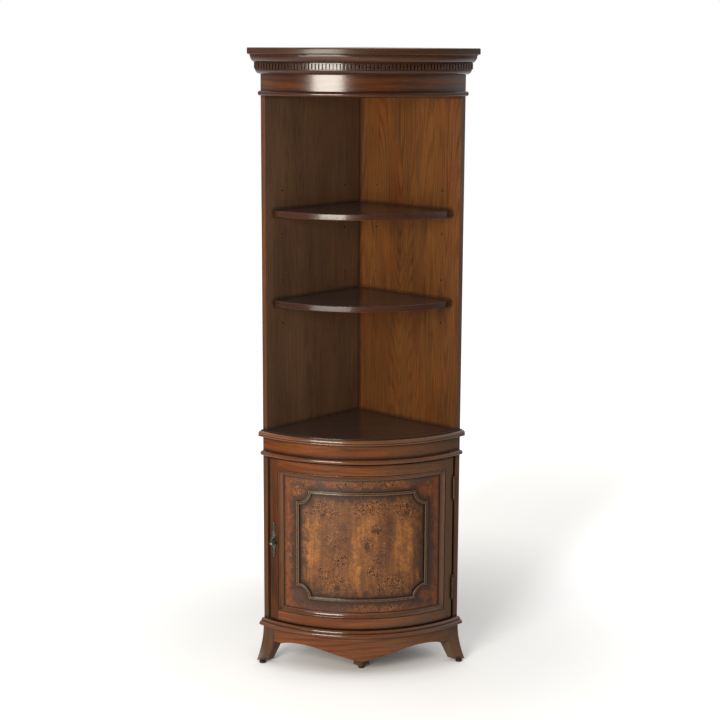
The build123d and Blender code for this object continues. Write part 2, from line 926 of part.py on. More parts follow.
def make_frame_moulding():
    """The raised moulding on the panel: a flat ring with a small bead outside and a large one inside."""
    bead_end = frame_bead_inset + frame_bead_width
    ridge_end = frame_ridge_inset + frame_ridge_width
    base = frame_ring(0, frame_moulding_width, frame_base_height)
    bead = frame_ring(frame_bead_inset, bead_end, frame_bead_height)
    ridge = frame_ring(frame_ridge_inset, ridge_end, frame_ridge_height)
    crest = [edge for edge in ridge.edges() if on_top(edge, panel_face + frame_ridge_height)]
    return base + bead + fillet(crest, frame_ridge_round)


# Handle, drawn on a plane that faces out from the left stile: X across, Y up and Z outwards

handle_lateral = (door_lateral + stile_lateral) / 2
handle_angle = wall_angle - math.degrees(math.asin(handle_lateral / case_radius))
handle_level = (door_bottom + door_top) / 2
handle_pivot = plate_thickness + post_reach


def on_handle(shape):
    """Place a shape on the door's face at the handle."""
    angle = math.radians(-handle_angle)
    out = (math.sin(angle), -math.cos(angle), 0)
    origin = (case_radius * out[0], case_radius * out[1], handle_level)
    plane = Plane(origin=origin, x_dir=(-out[1], out[0], 0), z_dir=out)
    return plane.location * shape


def upright_rod(radius, length):
    """A round bar across the handle, along its X axis and centred on it."""
    return Rot(0, 90, 0) * Cylinder(radius, length)


def make_backplate():
    """The pierced plate: a round boss, two lobes and two leaf clusters on a narrow stem."""
    half = handle_height / 2
    plate = Circle(boss_radius) + Rectangle(2 * neck_half_width, handle_height - 2 * tip_radius)
    holes = []
    for end in (1, -1):
        lobe = Pos(0, end * half * lobe_share) * Circle(lobe_radius)
        plate += lobe + Pos(0, end * (half - tip_radius)) * Circle(tip_radius)
        middle = end * half * finial_share
        for x, y in ((cluster_spread, 0), (-cluster_spread, 0), (0, cluster_spread), (0, -cluster_spread)):
            plate += Pos(x, middle + y) * Circle(cluster_radius)
            holes.append(Pos(x, middle + y) * Circle(pierce_radius))
        for x in (cluster_spread, -cluster_spread):
            holes.append(Pos(x, end * half * lobe_share) * Circle(pierce_radius))
    for hole in holes:
        plate -= hole
    plate -= Circle(post_stem_radius)
    body = on_handle(Pos(0, 0, -cut) * extrude(plate, plate_thickness + cut))
    return body - Pos(0, 0, door_bottom) * rod(case_radius, door_height)


def make_handle_post():
    """The turned post: a flange on the plate, a neck and a slotted head that holds the drop."""
    stem_length = plate_thickness + door_thickness + nut_height
    stem = Pos(0, 0, plate_thickness - stem_length) * rod(post_stem_radius, stem_length)
    flange = Pos(0, 0, plate_thickness) * rod(post_flange_radius, post_flange_height)
    neck = Pos(0, 0, plate_thickness) * rod(post_radius, post_reach)
    head = Pos(0, 0, handle_pivot) * upright_rod(clevis_radius, clevis_width)
    slot_depth = 2 * clevis_radius + cut
    slot_floor = handle_pivot - clevis_radius
    slot = Pos(0, 0, slot_floor) * Box(clevis_slot, slot_depth, 2 * slot_depth,
                                       align=(Align.CENTER, Align.CENTER, Align.MIN))
    pin_hole = Pos(0, 0, handle_pivot) * upright_rod(drop_pin_radius, 2 * clevis_width)
    return on_handle(stem + flange + neck + head - slot - pin_hole)


def make_handle_pin():
    """The cross pin that the drop swings on."""
    return on_handle(Pos(0, 0, handle_pivot) * upright_rod(drop_pin_radius, clevis_width))


def make_handle_drop():
    """The hanging drop: an eye on the pin, a thin neck and a pear-shaped weight."""
    eye = upright_rod(drop_eye_radius, drop_eye_width)
    neck_end = drop_length * drop_neck_share
    widest = drop_length - drop_radius
    half = outline(
        (0, 0),
        (drop_neck_radius, 0),
        (drop_neck_radius, -neck_end),
        ((drop_neck_radius + drop_radius * 3 / 5, -(neck_end + widest) / 2), (drop_radius, -widest)),
        ((drop_radius * math.sqrt(2) / 2, -widest - drop_radius * math.sqrt(2) / 2), (0, -drop_length)),
    )
    weight = Rot(-90, 0, 0) * revolve(Plane.XZ * half, Axis.Z, 360)
    bore = upright_rod(drop_pin_radius + drop_pin_clearance, 2 * drop_eye_width)
    drop = eye + weight - bore
    return on_handle(Pos(0, 0, handle_pivot) * drop)


def make_handle_nut():
    """The nut on the post's stem, inside the door."""
    nut = extrude(RegularPolygon(nut_radius, nut_side_count), nut_height) - rod(post_stem_radius, nut_height)
    return on_handle(Pos(0, 0, nut_seat_depth - door_thickness - nut_height) * nut)


# Catch on the left, drawn by the right wall and mirrored

strike_lateral = post_lateral + strike_width + strike_proud
strike_face = along(door_back, strike_lateral) - strike_proud
catch_front = strike_face - seat_gap
catch_low = handle_level - handle_height


def make_catch():
    """The magnetic catch on the catch post, and its two screws, on the left."""
    middle = catch_low + catch_height / 2
    body = block(catch_front - catch_depth, catch_front, post_lateral, post_lateral + catch_width,
                 catch_low, catch_low + catch_height)
    place = catch_front - catch_depth / 2
    offset = catch_height / 2 - catch_height / 5
    turn = Rot(-90, 0, 0)
    screws = []
    for height in (middle - offset, middle + offset):
        drawn = Pos(place, -post_lateral - catch_width, height) * turn * Rot(180, 0, 0)
        screws.append(mirrored(by_right_wall(drawn * screw(catch_width + catch_screw_length))))
    return mirrored(body) - screws, screws


def make_strike():
    """The strike plate let into the back of the left stile."""
    middle = catch_low + catch_height / 2
    return mirrored(block(strike_face, strike_face + strike_thickness, door_lateral + strike_proud,
                          strike_lateral, middle - strike_height / 2, middle + strike_height / 2))


# Assembly

def all_solids(shapes):
    """Every solid in a shape or a list of shapes."""
    listed = shapes if isinstance(shapes, (list, tuple)) else [shapes]
    return [solid for shape in listed for solid in shape.solids()]


def save(name, shapes):
    """Write one node, moved to the middle of the cabinet's footprint."""
    solids = [Pos(0, top_radius / 2, 0) * solid for solid in all_solids(shapes)]
    node = Compound(label=name, children=solids) if len(solids) > 1 else solids[0]
    export_step(node, f"parts/{name}.step")


def build():
    """Make and write every piece."""
    os.makedirs("parts", exist_ok=True)
    case_leaves, door_leaves, pins, case_screws, door_screws = make_hinges()
    catch_body, catch_screws = make_catch()
    strike = make_strike()
    stem = on_handle(Pos(0, 0, -door_thickness - cut) * rod(post_stem_radius, door_thickness + 2 * cut))
    nut_seat = on_handle(Pos(0, 0, nut_seat_depth - door_thickness - cut) * rod(nut_seat_radius, cut))

    right_side = make_right_side()
    left_side = mirrored(right_side)
    save("right_side", right_side - case_screws)
    save("left_side", left_side - catch_screws)
    save("top_board", make_top_board())
    save("crown_moulding", make_crown_moulding())
    save("dentil_moulding", make_dentil_moulding())
    save("bed_moulding", make_bed_moulding())
    save("frieze", make_frieze())
    save("frieze_bead", make_bead(open_top))
    save("ceiling_board", make_ceiling_board())
    save("crown_glue_blocks", make_crown_blocks())

    lower_row = shelf_row(waist_top + lower_rows_height)
    upper_row = shelf_row(waist_top + upper_rows_height)
    cupboard_row = shelf_row(case_floor + cupboard_rows_height)
    save("lower_shelf", make_shelf(lower_row, shelf_setback, shelf_bow_shift))
    save("upper_shelf", make_shelf(upper_row, shelf_setback, shelf_bow_shift))
    save("cupboard_shelf", make_shelf(cupboard_row, cupboard_shelf_setback, cupboard_shelf_bow_shift))
    save("shelf_supports", make_supports(lower_row, upper_row))
    save("cupboard_shelf_supports", make_supports(cupboard_row))

    save("waist_board", make_waist_board())
    save("waist_rail", make_waist_rail())
    save("waist_bead", make_bead(waist_bottom))
    save("cupboard_floor", make_cupboard_floor())
    save("base_moulding", make_base_moulding())
    save("apron", make_apron())
    save("base_glue_blocks", make_base_blocks())
    right_foot = make_right_foot()
    save("right_foot", right_foot)
    save("left_foot", mirrored(right_foot))
    save("centre_foot", make_centre_foot())
    save("rear_foot", make_rear_foot())
    save("glides", make_glides())

    right_post = make_right_post()
    save("hinge_post", right_post - case_leaves - case_screws)
    save("catch_post", mirrored(right_post) - catch_screws)
    save("hinge_case_leaves", case_leaves)
    save("hinge_pins", pins)
    save("hinge_case_screws", case_screws)
    save("catch_body", catch_body)
    save("catch_screws", catch_screws)

    stile = make_right_stile()
    save("hinge_stile", stile - door_leaves - door_screws)
    save("handle_stile", mirrored(stile) - strike - stem - nut_seat)
    save("door_top_rail", make_rail(opening_top))
    save("door_bottom_rail", make_rail(door_bottom))
    save("door_panel", panel_envelope())
    upright = make_upright_sticking()
    save("sticking_right", upright)
    save("sticking_left", mirrored(upright))
    save("sticking_top", make_level_sticking(opening_top, -1))
    save("sticking_bottom", make_level_sticking(opening_bottom, 1))
    save("frame_moulding", make_frame_moulding())
    save("hinge_door_leaves", door_leaves)
    save("hinge_door_screws", door_screws)
    save("strike_plate", strike)
    save("handle_backplate", make_backplate())
    save("handle_post", make_handle_post())
    save("handle_pin", make_handle_pin())
    save("handle_nut", make_handle_nut())
    save("handle_drop", make_handle_drop())


build()
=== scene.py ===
import math
import bpy
from mathutils import Matrix, Vector


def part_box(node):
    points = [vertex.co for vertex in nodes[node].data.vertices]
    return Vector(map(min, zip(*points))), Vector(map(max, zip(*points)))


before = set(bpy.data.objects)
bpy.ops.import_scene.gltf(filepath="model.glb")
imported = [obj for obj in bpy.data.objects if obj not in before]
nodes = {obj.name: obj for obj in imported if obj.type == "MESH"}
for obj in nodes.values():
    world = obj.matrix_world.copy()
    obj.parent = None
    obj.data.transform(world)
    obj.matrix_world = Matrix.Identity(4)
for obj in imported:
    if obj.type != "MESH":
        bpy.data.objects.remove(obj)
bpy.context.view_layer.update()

# The two side panels: full-height boards faced with cherry veneer, mitred where they meet in the
# room's corner, their front edges lipped with darker solid cherry. Stained, glazed and rubbed to a
# satin. Every wood's figure is drawn in its own directions: across, through and along the grain.
corner_line = Vector((0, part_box("top_board")[1].y, 0))
case_radius = corner_line.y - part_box("frieze")[0].y
wall_turns = {"right_wall": math.radians(45), "left_wall": math.radians(-45)}


def new_material(name, metallic=0.0, specular=0.5):
    """An empty node material, its tree and its Principled shader."""
    material = bpy.data.materials.new(name)
    material.use_nodes = True
    tree = material.node_tree
    shader = tree.nodes["Principled BSDF"]
    shader.inputs["Metallic"].default_value = metallic
    shader.inputs["Specular IOR Level"].default_value = specular
    return material, tree, shader


def put(tree, kind, settings=None, **inputs):
    """Add a node, set its properties, and give its inputs, by name or as i0, i1, values or links."""
    node = tree.nodes.new(kind)
    for key, value in (settings or {}).items():
        setattr(node, key, value)
    for key, value in inputs.items():
        socket = node.inputs[int(key[1:])] if key[1:].isdigit() else node.inputs[key.replace("_", " ")]
        if isinstance(value, bpy.types.NodeSocket):
            tree.links.new(value, socket)
        elif socket.type == "RGBA":
            socket.default_value = (*value, 1.0)
        else:
            socket.default_value = value
    return node


def maths(tree, operation, *values, clamp=False):
    """One Math node's result."""
    inputs = {f"i{index}": value for index, value in enumerate(values)}
    return put(tree, "ShaderNodeMath", {"operation": operation, "use_clamp": clamp}, **inputs).outputs[0]


def times(tree, first, second):
    """Two values multiplied."""
    return maths(tree, "MULTIPLY", first, second)


def remap(tree, value, low, high, new_low=0.0, new_high=1.0):
    """A value moved smoothly from one range to another and held at the ends."""
    node = put(tree, "ShaderNodeMapRange", {"interpolation_type": "SMOOTHSTEP"}, Value=value,
               From_Min=low, From_Max=high, To_Min=new_low, To_Max=new_high)
    return node.outputs["Result"]


def mix(tree, factor, first, second, blend="MIX"):
    """Two colours mixed, or the second laid over the first by another blend."""
    settings = {"data_type": "RGBA", "blend_type": blend}
    return put(tree, "ShaderNodeMix", settings, i0=factor, i6=first, i7=second).outputs[2]


def vector_maths(tree, operation, *values):
    """One Vector Math node's vector."""
    inputs = {f"i{index}": value for index, value in enumerate(values)}
    return put(tree, "ShaderNodeVectorMath", {"operation": operation}, **inputs).outputs[0]


def length(tree, vector):
    """A vector's length."""
    return put(tree, "ShaderNodeVectorMath", {"operation": "LENGTH"}, i0=vector).outputs["Value"]


def place(tree):
    """The point that is shaded, in metres, in the part's own frame."""
    return put(tree, "ShaderNodeTexCoord").outputs["Object"]


def axes(tree, vector):
    """A vector's x, y and z."""
    return put(tree, "ShaderNodeSeparateXYZ", Vector=vector).outputs


def noise(tree, vector, spacing, detail=3.0, rough=0.5):
    """Noise from 0 to 1, with its spacing in waves a metre for each direction."""
    scaled = vector_maths(tree, "MULTIPLY", vector, spacing)
    node = put(tree, "ShaderNodeTexNoise", Vector=scaled, Scale=1.0, Detail=detail, Roughness=rough)
    return node.outputs["Fac"]


def marks(tree, vector, spacing, low, high, detail, rough, fine=1.0):
    """Soft-edged marks, where noise rises from low to high; a higher fine packs them closer across."""
    across, through, along = spacing
    return remap(tree, noise(tree, vector, (across * fine, through, along), detail, rough), low, high)


def relief(tree, shader, height, strength, depth):
    """Let a height show as relief on a surface."""
    bump = put(tree, "ShaderNodeBump", Height=height, Strength=strength, Distance=depth)
    tree.links.new(bump.outputs["Normal"], shader.inputs["Normal"])


def grain_space(tree, run, seed=0.0):
    """A point as (across, through, along) the grain, in metres, for the way that the board runs."""
    point = vector_maths(tree, "SUBTRACT", place(tree), corner_line)
    if run in wall_turns:
        turned = put(tree, "ShaderNodeVectorRotate", {"rotation_type": "Z_AXIS"}, Vector=point,
                     Angle=wall_turns[run])
        grain = turned.outputs[0]
    else:
        x, y, z = axes(tree, point)
        arc = times(tree, maths(tree, "ARCTAN2", x, times(tree, y, -1.0)), case_radius)
        radius = maths(tree, "SQRT", maths(tree, "ADD", times(tree, x, x), times(tree, y, y)))
        ways = {"level": (y, z, x), "bent": (z, radius, arc), "post": (arc, radius, z)}
        across, through, along = ways[run]
        grain = put(tree, "ShaderNodeCombineXYZ", i0=across, i1=through, i2=along).outputs[0]
    return vector_maths(tree, "ADD", grain, (seed, seed * 2, seed * 3))


# The glaze's dark tone, which also stands in for painted shade, and how sheltered a point is where it
# starts and is full.
glaze_shade_tone = (0.010, 0.006, 0.004)
open_corner, closed_corner = 0.97, 0.72


def glaze_and_painted_shade(tree, colour, strength, reach):
    """Glaze left dark in corners and by mouldings, patina on metal, deepened there with painted shade."""
    shelter = put(tree, "ShaderNodeAmbientOcclusion", {"samples": 4}, Distance=reach).outputs["AO"]
    return mix(tree, remap(tree, shelter, open_corner, closed_corner, 0.0, strength), colour, glaze_shade_tone)


# The paler tone of worn edges, which also serves as a painted highlight, and how far the rounding reaches.
rub_highlight_tone, rub_reach = (0.40, 0.21, 0.09), 0.0012
flat_face, turned_edge = 0.995, 0.94


def rubbed_highlit_edges(tree, colour, strength):
    """Edges rubbed thin and lightened as a painted highlight, where the rounded normal leaves the face's.
    """
    rounded = put(tree, "ShaderNodeBevel", {"samples": 4}, Radius=rub_reach).outputs["Normal"]
    face = put(tree, "ShaderNodeNewGeometry").outputs["Normal"]
    agree = put(tree, "ShaderNodeVectorMath", {"operation": "DOT_PRODUCT"}, i0=rounded, i1=face)
    worn_and_highlit = remap(tree, agree.outputs["Value"], flat_face, turned_edge, 0.0, strength)
    return mix(tree, worn_and_highlit, colour, rub_highlight_tone)


# Cherry's growth rings, in waves a metre across, through and along the grain, and then its marks, each
# with the noise at which one starts and is full, and the noise's detail and roughness.
sway_waves, plank_waves = (7.0, 3.0, 3.5), (8.0, 3.0, 0.5)
broad_marks = (9.0, 6.0, 2.2), 0.30, 0.70, 2.0, 0.5
streak_marks = (120.0, 50.0, 3.5), 0.30, 0.70, 3.0, 0.65
fibre_marks = (480.0, 300.0, 9.0), 0.30, 0.70, 3.0, 0.6
pore_marks = (900.0, 600.0, 30.0), 0.60, 0.72, 1.0, 0.5
ember_marks = (14.0, 8.0, 3.5), 0.48, 0.68, 3.0, 0.6
ruddy_marks = (17.0, 9.0, 5.0), 0.52, 0.70, 2.0, 0.5
dusk_marks = (30.0, 9.0, 4.0), 0.48, 0.68, 3.0, 0.6

# How much each mark darkens the wood, how much darkening still leaves it at its pale tone, and how far
# pores sink and fibres rise, as shares of its relief.
ring_share, broad_share, streak_share, fibre_share, pore_share = 0.34, 0.34, 0.40, 0.20, 0.45
pale_below = 0.10
pore_sink, fibre_rise = -0.8, 0.3

# The washes over warm and ruddy patches, the greyish tone of the painted shade and sheen on the right,
# how far across the cabinet it spreads, and the heights between which painted shade darkens a side
# panel towards the bottom.
ember_wash, ruddy_wash, right_shade_tone = (1.55, 1.12, 0.60), (1.0, 0.62, 0.66), (0.138, 0.076, 0.045)
right_shade_start, right_shade_end = -0.08, 0.28
low_shade_start, low_shade_end = 1.45, 0.95


def shaded(tone, share, lift=0.0):
    """A tone times a share, with each channel then raised by a lift."""
    return tuple(channel * share + lift for channel in tone)


def cherry(name, run, tones, seed, figure=0.5, glaze_and_shade=0.7, rough=0.27, rings=150.0, contrast=1.0,
           ember=0.35, haze=0.35, lacquer=0.4, shine=0.22, right_shade_sheen=0.0, polish=0.09, fine=1.0,
           wander=0.022, rub_highlight=0.0, low_shade=0.0, nook=0.012):
    """Stained cherry between a pale and a deep tone, glazed and lacquered.

    The run is how the board lies, and the seed picks its place in the tree. Figure, rings and wander
    shape the growth rings, contrast and fine the streaks, fibres and pores, and ember and haze the warm
    and dusky patches. The right-hand share lays a greyish painted shade and sheen over the right, the
    low share paints shade that deepens it lower down, rub wears the edges and paints a highlight along
    them, and the glaze, which is partly painted shade, stays within a nook's width of a corner. Rough
    and shine are the wood's own surface, lacquer is how much coat lies on it, and polish is that coat's
    roughness.
    """
    material, tree, shader = new_material(name, specular=shine)
    pale, deep = tones
    grain = grain_space(tree, run, seed)
    sway = times(tree, noise(tree, grain, sway_waves, 2.0), wander)
    swayed = vector_maths(tree, "ADD", grain, put(tree, "ShaderNodeCombineXYZ", i0=sway).outputs[0])
    plank = noise(tree, swayed, plank_waves, 1.0, 0.35)
    arches = remap(tree, maths(tree, "SINE", times(tree, plank, rings)), -0.2, 1.0)
    broad = marks(tree, grain, *broad_marks)
    streaks = marks(tree, swayed, *streak_marks, fine)
    fibres = marks(tree, swayed, *fibre_marks, fine)
    pores = marks(tree, swayed, *pore_marks)

    darkening = times(tree, arches, ring_share * figure)
    darkening = maths(tree, "MULTIPLY_ADD", broad, broad_share, darkening)
    darkening = maths(tree, "MULTIPLY_ADD", streaks, streak_share * contrast, darkening)
    darkening = maths(tree, "MULTIPLY_ADD", fibres, fibre_share * contrast, darkening)
    colour = mix(tree, maths(tree, "SUBTRACT", darkening, pale_below, clamp=True), pale, deep)
    warm = times(tree, marks(tree, grain, *ember_marks), ember)
    colour = mix(tree, warm, colour, ember_wash, "MULTIPLY")
    ruddy = times(tree, marks(tree, grain, *ruddy_marks), ember)
    colour = mix(tree, ruddy, colour, ruddy_wash, "MULTIPLY")
    dusk = times(tree, marks(tree, swayed, *dusk_marks), haze)
    colour = mix(tree, dusk, colour, shaded(deep, 0.45, 0.006))
    # Painted shade and sheen: a greyish tone laid over the right-hand side of the cabinet.
    if right_shade_sheen:
        sideways = axes(tree, place(tree))[0]
        colour = mix(tree, remap(tree, sideways, right_shade_start, right_shade_end, 0.0, right_shade_sheen), colour, right_shade_tone)
    # Painted shade: the tone deepens towards the bottom.
    if low_shade:
        height = axes(tree, place(tree))[2]
        colour = mix(tree, remap(tree, height, low_shade_start, low_shade_end, 0.0, low_shade), colour, deep)
    colour = mix(tree, times(tree, pores, pore_share * contrast), colour, shaded(deep, 0.4))
    # Worn edges, lightened further as a painted highlight.
    if rub_highlight:
        colour = rubbed_highlit_edges(tree, colour, rub_highlight)
    # The glaze in corners and by mouldings, deepened with painted shade.
    tree.links.new(glaze_and_painted_shade(tree, colour, glaze_and_shade, nook), shader.inputs["Base Color"])

    tree.links.new(remap(tree, streaks, 0.0, 1.0, rough - 0.02, rough + 0.05), shader.inputs["Roughness"])
    shader.inputs["Coat Weight"].default_value = lacquer
    shader.inputs["Coat Roughness"].default_value = polish
    texture = maths(tree, "MULTIPLY_ADD", pores, pore_sink, times(tree, fibres, fibre_rise))
    relief(tree, shader, texture, 0.12, 0.0003)
    return material


weld_distance = 0.00001
sharp_angle = math.radians(32)


def dress(name, material, edge=0.0006, second=None, picks=None):
    """Give a CAD piece its finish, soft normals and a slightly worn edge; picked faces get the second."""
    piece = nodes[name]
    piece.data.materials.clear()
    piece.data.materials.append(material)
    if second:
        piece.data.materials.append(second)
        for face in piece.data.polygons:
            face.material_index = int(picks(face.normal))
    piece.data.polygons.foreach_set("use_smooth", [True] * len(piece.data.polygons))
    weld = piece.modifiers.new("weld", "WELD")
    weld.merge_threshold = weld_distance
    bevel = piece.modifiers.new("worn edge", "BEVEL")
    bevel.width = edge
    bevel.segments = 2
    bevel.angle_limit = sharp_angle
    bevel.limit_method = "ANGLE"
    bevel.use_clamp_overlap = True
    weigh = piece.modifiers.new("flat faces", "WEIGHTED_NORMAL")
    weigh.keep_sharp = True


def facing(*direction):
    """A test for the faces that look about one way."""
    heading = Vector(direction).normalized()
    return lambda normal: normal.dot(heading) > 0.92


case_tones = (0.194, 0.074, 0.019), (0.066, 0.023, 0.006)
# The left panel's duller, greyer tones stand for painted shade on the side turned from the lamp.
left_shade_tones = (0.152, 0.080, 0.042), (0.056, 0.029, 0.016)
lipping_tones = (0.142, 0.050, 0.012), (0.056, 0.019, 0.006)
# The right panel darkens towards the bottom with painted shade.
right_veneer = cherry("cherry_right_side", "right_wall", case_tones, seed=1.0, figure=0.8, glaze_and_shade=0.5,
                      rough=0.34, rings=300.0, haze=0.4, lacquer=0.15, fine=2.4, wander=0.012, low_shade=0.35)
shaded_left_veneer = cherry("cherry_left_side", "left_wall", left_shade_tones, seed=4.0, figure=0.4, glaze_and_shade=0.5,
                     rough=0.34, rings=330.0, ember=0.15, haze=0.2, lacquer=0.15, fine=2.4, wander=0.012)
lipping = cherry("cherry_lipping", "post", lipping_tones, seed=24.0, figure=0.3, glaze_and_shade=0.6)
dress("right_side", right_veneer, edge=0.0012, second=lipping, picks=facing(1, -1, 0))
dress("left_side", shaded_left_veneer, edge=0.0012, second=lipping, picks=facing(-1, -1, 0))

# The feet: two splayed front feet with a knee, a square centre foot and a plain rear one, glued and
# blocked under the case, each on a glide of black plastic.
foot_tones = (0.122, 0.060, 0.034), (0.054, 0.025, 0.014)
foot_wood = cherry("cherry_feet", "post", foot_tones, seed=7.0, rough=0.34, lacquer=0.05, right_shade_sheen=0.85,
                   rub_highlight=0.2)
for name in ("right_foot", "left_foot", "centre_foot"):
    dress(name, foot_wood, edge=0.002)
softwood_tones = (0.42, 0.28, 0.15), (0.28, 0.17, 0.085)
plain_wood = cherry("plain_softwood", "level", softwood_tones, seed=9.0, glaze_and_shade=0.2, rough=0.6)
for name in ("rear_foot", "base_glue_blocks", "crown_glue_blocks"):
    dress(name, plain_wood)


scuff_marks = (60.0, 60.0, 60.0), 0.45, 0.75, 4.0, 0.6
eggshell_waves = (2500.0, 2500.0, 2500.0)


def moulded_plastic(name, colour):
    """Dull moulded plastic with a fine eggshell texture and faint scuffs."""
    material, tree, shader = new_material(name)
    scuffs = marks(tree, place(tree), *scuff_marks)
    tree.links.new(mix(tree, scuffs, colour, shaded(colour, 1.6, 0.01)), shader.inputs["Base Color"])
    shader.inputs["Roughness"].default_value = 0.5
    relief(tree, shader, noise(tree, place(tree), eggshell_waves, 2.0), 0.15, 0.0001)
    return material


dress("glides", moulded_plastic("glide_plastic", (0.012, 0.012, 0.012)), edge=0.0008)

# The apron and the base moulding: cherry boards bent to the case's curve, the apron sawn to an ogee
# that drops to a point in the middle, and the moulding with a rounded nose glued over its top edge.
apron_tones = (0.255, 0.090, 0.030), (0.096, 0.032, 0.014)
apron_wood = cherry("cherry_apron", "bent", apron_tones, seed=2.0, figure=0.8, glaze_and_shade=0.8, rough=0.3,
                    rings=110.0, lacquer=0.25, shine=0.15, right_shade_sheen=0.5)
dress("apron", apron_wood, edge=0.0015)
moulding_tones = (0.190, 0.064, 0.020), (0.070, 0.024, 0.010)
moulding_wood = cherry("cherry_mouldings", "bent", moulding_tones, seed=8.0, glaze_and_shade=0.95, lacquer=0.9,
                       shine=0.12, right_shade_sheen=0.4, rub_highlight=0.5)
dress("base_moulding", moulding_wood)

# The cupboard's floor and the two posts set back beside the door: solid cherry boards, glued between
# the side panels. The hinges are screwed to the right post and the catch to the left one.
level_wood = cherry("cherry_level", "level", case_tones, seed=5.0, figure=0.6, glaze_and_shade=0.4)
dress("cupboard_floor", level_wood)
post_tones = (0.130, 0.043, 0.013), (0.046, 0.015, 0.006)
post_wood = cherry("cherry_posts", "post", post_tones, seed=3.0, figure=0.4)
for name in ("hinge_post", "catch_post"):
    dress(name, post_wood)

# The waist: a bent cherry rail with a half-round bead glued under it, and over it the waist board, which
# is the cupboard's top and the open bays' floor, with a moulded nose worked on its front edge.
rail_tones = (0.250, 0.072, 0.015), (0.080, 0.022, 0.006)
rail_wood = cherry("cherry_waist_rail", "bent", rail_tones, seed=17.0, figure=0.8, glaze_and_shade=0.85, rings=110.0,
                   contrast=1.3, haze=0.6, lacquer=0.18, shine=0.12, right_shade_sheen=0.8)
dress("waist_rail", rail_wood)
dress("waist_bead", moulding_wood)


def dark_board(name, tones, seed):
    """A nearly black, even tone on the level faces that things stand on, far darker than their edges."""
    return cherry(name, "level", tones, seed, figure=0.1, glaze_and_shade=0.3, rough=0.3, rings=90.0, contrast=0.15,
                  ember=0.1, haze=0.1, shine=0.5)


def upright(steepest):
    """A test for the faces whose normals rise or fall by less than a share."""
    return lambda normal: abs(normal.z) < steepest


waist_top_tones = (0.056, 0.036, 0.030), (0.038, 0.024, 0.020)
waist_wood = dark_board("cherry_shelves", waist_top_tones, seed=6.0)
nose_tones = (0.230, 0.088, 0.030), (0.090, 0.032, 0.012)
nose_wood = cherry("cherry_waist_nose", "bent", nose_tones, seed=18.0, glaze_and_shade=0.95, lacquer=1.0, right_shade_sheen=0.6,
                   rub_highlight=0.7)
dress("waist_board", waist_wood, second=nose_wood, picks=upright(0.97))

# The shelves: bow-fronted, veneered boards with clipped corners, each resting loose on four zinc-plated
# supports, a peg with a leg, in the side panels' holes. Two are in the open bays, one in the cupboard.
shelf_tones = (0.058, 0.044, 0.046), (0.042, 0.032, 0.033)
shelf_wood = dark_board("cherry_open_shelves", shelf_tones, seed=25.0)
shelf_edge_tones = (0.066, 0.020, 0.006), (0.026, 0.009, 0.004)
shelf_edge = cherry("cherry_shelf_edges", "bent", shelf_edge_tones, seed=21.0, glaze_and_shade=0.6, lacquer=0.8,
                    polish=0.16)
for name in ("upper_shelf", "lower_shelf", "cupboard_shelf"):
    dress(name, shelf_wood, second=shelf_edge, picks=upright(0.5))


tarnish_marks = (180.0, 180.0, 180.0), 0.35, 0.70, 3.0, 0.6
brush_waves = (400.0, 400.0, 3000.0)
brush_spread = 0.06


def worked_metal(name, colour, rough):
    """Plated or antiqued metal: brushed, a little uneven in tone, dark in its corners with painted shade.
    """
    material, tree, shader = new_material(name, metallic=1.0)
    tone = mix(tree, marks(tree, place(tree), *tarnish_marks), colour, shaded(colour, 0.6))
    tree.links.new(glaze_and_painted_shade(tree, tone, 0.45, 0.003), shader.inputs["Base Color"])
    brushing = noise(tree, place(tree), brush_waves, 2.0)
    brushed = remap(tree, brushing, 0.2, 0.8, rough - brush_spread, rough + brush_spread)
    tree.links.new(brushed, shader.inputs["Roughness"])
    relief(tree, shader, brushing, 0.1, 0.0001)
    return material


zinc = worked_metal("zinc_plate", (0.62, 0.62, 0.60), 0.35)
for name in ("shelf_supports", "cupboard_shelf_supports"):
    dress(name, zinc, edge=0.0002)

# The crown: frieze, bead, bed moulding, dentils, crown moulding and top board, all cherry, bent or sawn
# to the case's curve and glued one above the other, with a plain ceiling board behind the frieze.
frieze_tones = (0.130, 0.037, 0.006), (0.040, 0.012, 0.003)
frieze_wood = cherry("cherry_frieze", "bent", frieze_tones, seed=11.0, figure=0.8, rough=0.24, rings=110.0,
                     contrast=1.2, ember=0.5, haze=0.6, lacquer=1.0, right_shade_sheen=0.2, polish=0.18)
dress("frieze", frieze_wood)
crown_tones = (0.085, 0.028, 0.010), (0.032, 0.011, 0.005)
crown_wood = cherry("cherry_crown", "bent", crown_tones, seed=12.0, glaze_and_shade=0.95, rough=0.26, lacquer=0.8,
                    rub_highlight=0.3)
for name in ("frieze_bead", "bed_moulding", "dentil_moulding", "crown_moulding"):
    dress(name, crown_wood, edge=0.0005)
top_tones = (0.095, 0.036, 0.013), (0.036, 0.014, 0.006)
top_wood = cherry("cherry_top_board", "bent", top_tones, seed=26.0, glaze_and_shade=0.85, rough=0.34, lacquer=0.3,
                  polish=0.2, rub_highlight=0.3)
dress("top_board", top_wood)
dress("ceiling_board", level_wood)

